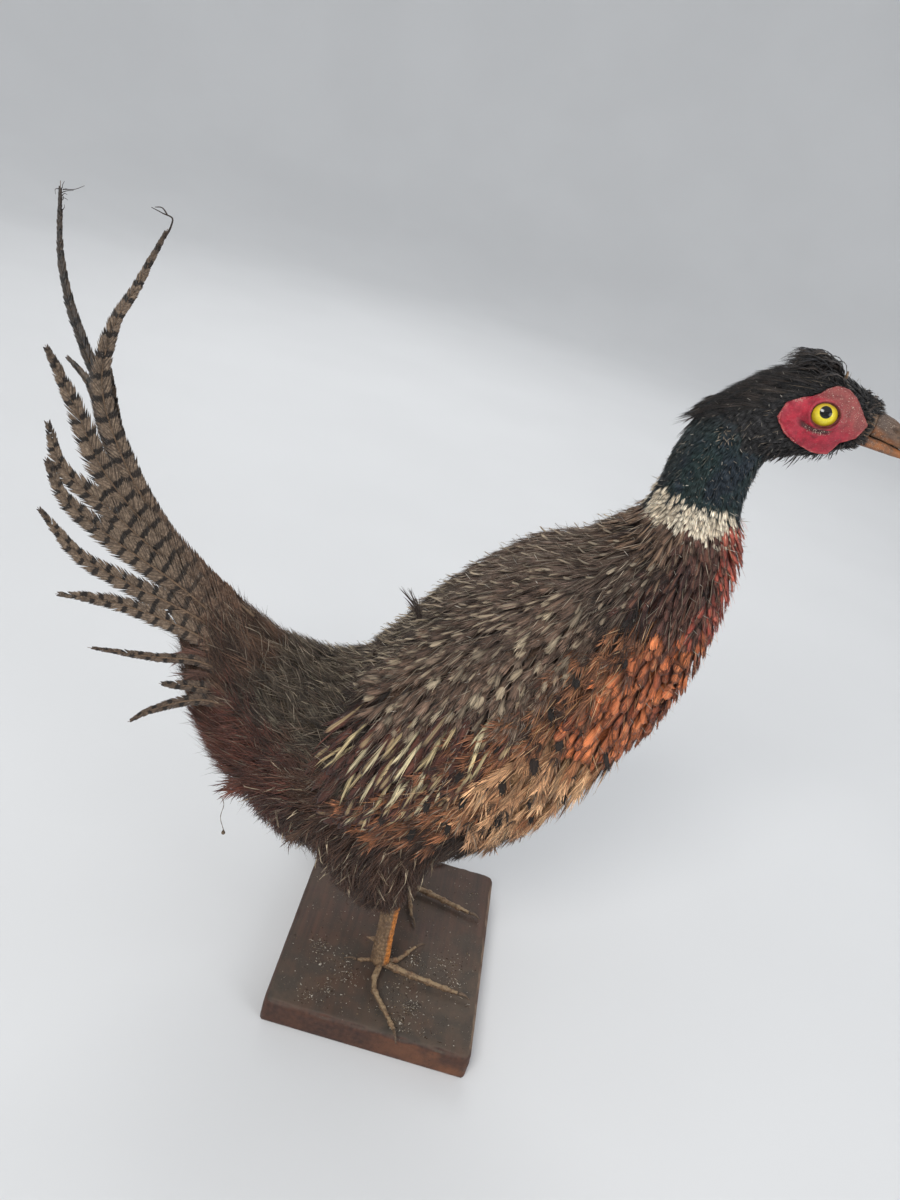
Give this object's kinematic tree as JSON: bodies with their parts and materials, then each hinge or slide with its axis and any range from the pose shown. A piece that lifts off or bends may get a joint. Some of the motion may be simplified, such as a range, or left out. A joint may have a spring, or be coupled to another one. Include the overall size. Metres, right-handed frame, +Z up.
{
  "type": "taxidermy cock pheasant on a wooden board",
  "caption": "Mounted cock ring-necked pheasant standing upright on a small rectangular board, tail raised behind in a ragged fan, head turned level to the front.",
  "frame": {"origin": "centre of the board's underside", "axes": "+X the way the bird faces, +Y its left, +Z up"},
  "size_m": [0.4237, 0.1642, 0.42],
  "materials": {
    "stained_board": "dark stained softwood, dusty on top, red-brown and worn on its edges",
    "body_feathers": "barred and fringed body feathers, copper in front, buff below, grey-brown above, matte",
    "rump_feathers": "soft olive-brown feathers, matte",
    "wing_feathers": "grey-brown and maroon coverts with cream shafts and spots, matte",
    "thigh_feathers": "dark brown down, matte",
    "tail_feathers": "buff-brown vanes with black bars, frayed, matte",
    "white_feathers": "short cream-white feathers, matte",
    "neck_feathers": "short glossy green-blue feathers with a metallic sheen",
    "crown_feathers": "dark brown-black hair-like feathers",
    "bare_skin": "rough painted red skin, dusty",
    "bill_horn": "dull brown horn",
    "glass_eye": "yellow iris and black pupil under clear glass, opaque",
    "claw_horn": "dull brown horn",
    "leg_scales": "dry scaled skin, orange-brown"
  },
  "bodies": {
    "root": {"bill_lower": "bill_horn", "bill_upper": "bill_horn", "board": "stained_board", "claw_hind_left": "claw_horn", "claw_hind_right": "claw_horn", "claw_inner_left": "claw_horn", "claw_inner_right": "claw_horn", "claw_middle_left": "claw_horn", "claw_middle_right": "claw_horn", "claw_outer_left": "claw_horn", "claw_outer_right": "claw_horn", "collar": "white_feathers", "crest": "crown_feathers", "eye_left": "glass_eye", "eye_right": "glass_eye", "face_left": "bare_skin", "face_right": "bare_skin", "head": "crown_feathers", "leg_left": "leg_scales", "leg_right": "leg_scales", "nape_tuft": "crown_feathers", "neck": "neck_feathers", "rump": "rump_feathers", "tail_central_left": "tail_feathers", "tail_central_right": "tail_feathers", "tail_eighth_left": "tail_feathers", "tail_eighth_right": "tail_feathers", "tail_fifth_left": "tail_feathers", "tail_fifth_right": "tail_feathers", "tail_fourth_left": "tail_feathers", "tail_fourth_right": "tail_feathers", "tail_outer_left": "tail_feathers", "tail_outer_right": "tail_feathers", "tail_second_left": "tail_feathers", "tail_second_right": "tail_feathers", "tail_seventh_left": "tail_feathers", "tail_seventh_right": "tail_feathers", "tail_sixth_left": "tail_feathers", "tail_sixth_right": "tail_feathers", "tail_third_left": "tail_feathers", "tail_third_right": "tail_feathers", "thigh_left": "thigh_feathers", "thigh_right": "thigh_feathers", "toe_hind_left": "leg_scales", "toe_hind_right": "leg_scales", "toe_inner_left": "leg_scales", "toe_inner_right": "leg_scales", "toe_middle_left": "leg_scales", "toe_middle_right": "leg_scales", "toe_outer_left": "leg_scales", "toe_outer_right": "leg_scales", "trunk": "body_feathers", "wing_left": "wing_feathers", "wing_right": "wing_feathers"}
  },
  "joints": []
}
